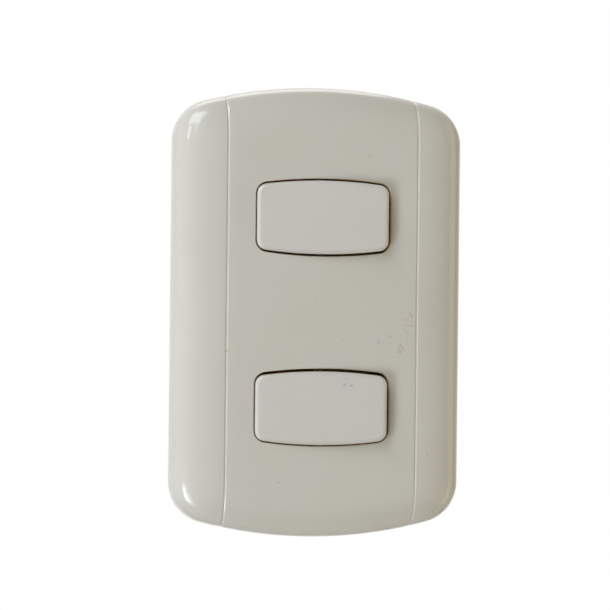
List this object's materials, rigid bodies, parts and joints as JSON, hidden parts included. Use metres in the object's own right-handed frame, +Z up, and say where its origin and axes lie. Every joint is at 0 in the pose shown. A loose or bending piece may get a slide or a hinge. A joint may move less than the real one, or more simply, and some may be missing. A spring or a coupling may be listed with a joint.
{
  "type": "double light switch",
  "caption": "Flush wall switch: crowned ivory cover plate with two side-rocking keys on a mounting frame, with snap-in switch modules behind.",
  "frame": {"origin": "on the wall plane, midway between the two mounting screws", "axes": "+Z up; +X to the right seen from the front; +Y into the wall, so the front looks towards -Y"},
  "size_m": [0.0772, 0.0345, 0.118],
  "materials": {
    "plate": "aged ivory, semi-gloss",
    "key": "ivory, semi-gloss",
    "frame": "moulded, matt",
    "screw": "zinc plated",
    "module": "brown thermoset, matt",
    "rocker": "natural nylon",
    "spring": "spring steel",
    "blade": "rolled copper alloy",
    "contact": "silver",
    "terminal": "drawn brass",
    "clamp_screw": "zinc plated"
  },
  "bodies": {
    "base": {"cover_plate": "plate", "mounting_frame": "frame", "upper_mounting_screw": "screw", "lower_mounting_screw": "screw", "upper_module_front": "module", "upper_housing": "module", "upper_common_terminal": "terminal", "upper_line_terminal": "terminal", "upper_fixed_contact": "contact", "upper_terminal_screws": "clamp_screw", "lower_module_front": "module", "lower_housing": "module", "lower_common_terminal": "terminal", "lower_line_terminal": "terminal", "lower_fixed_contact": "contact", "lower_terminal_screws": "clamp_screw"},
    "upper_key_rocker": {"upper_key": "key", "upper_rocker": "rocker", "upper_plunger": "rocker", "upper_spring": "spring"},
    "upper_see_saw": {"upper_contact_blade": "blade", "upper_moving_contact": "contact"},
    "lower_key_rocker": {"lower_key": "key", "lower_rocker": "rocker", "lower_plunger": "rocker", "lower_spring": "spring"},
    "lower_see_saw": {"lower_contact_blade": "blade", "lower_moving_contact": "contact"}
  },
  "joints": [
    {"name": "upper_key_rock", "type": "hinge", "parent": "base", "child": "upper_key_rocker", "pos_m": [0, -0.0058, 0.02481], "axis": [0, 0, 1], "range_deg": [0, 7]},
    {"name": "upper_see_saw_rock", "type": "hinge", "parent": "base", "child": "upper_see_saw", "pos_m": [0, 0.01095, 0.02481], "axis": [0, 0, 1], "range_deg": [-18, 0]},
    {"name": "lower_key_rock", "type": "hinge", "parent": "base", "child": "lower_key_rocker", "pos_m": [0, -0.0058, -0.02496], "axis": [0, 0, 1], "range_deg": [0, 7]},
    {"name": "lower_see_saw_rock", "type": "hinge", "parent": "base", "child": "lower_see_saw", "pos_m": [0, 0.01095, -0.02496], "axis": [0, 0, 1], "range_deg": [-18, 0]}
  ],
  "couplings": [
    {"joint": "upper_see_saw_rock", "follows": "upper_key_rock", "ratio": -2.5714},
    {"joint": "lower_see_saw_rock", "follows": "lower_key_rock", "ratio": -2.5714}
  ]
}
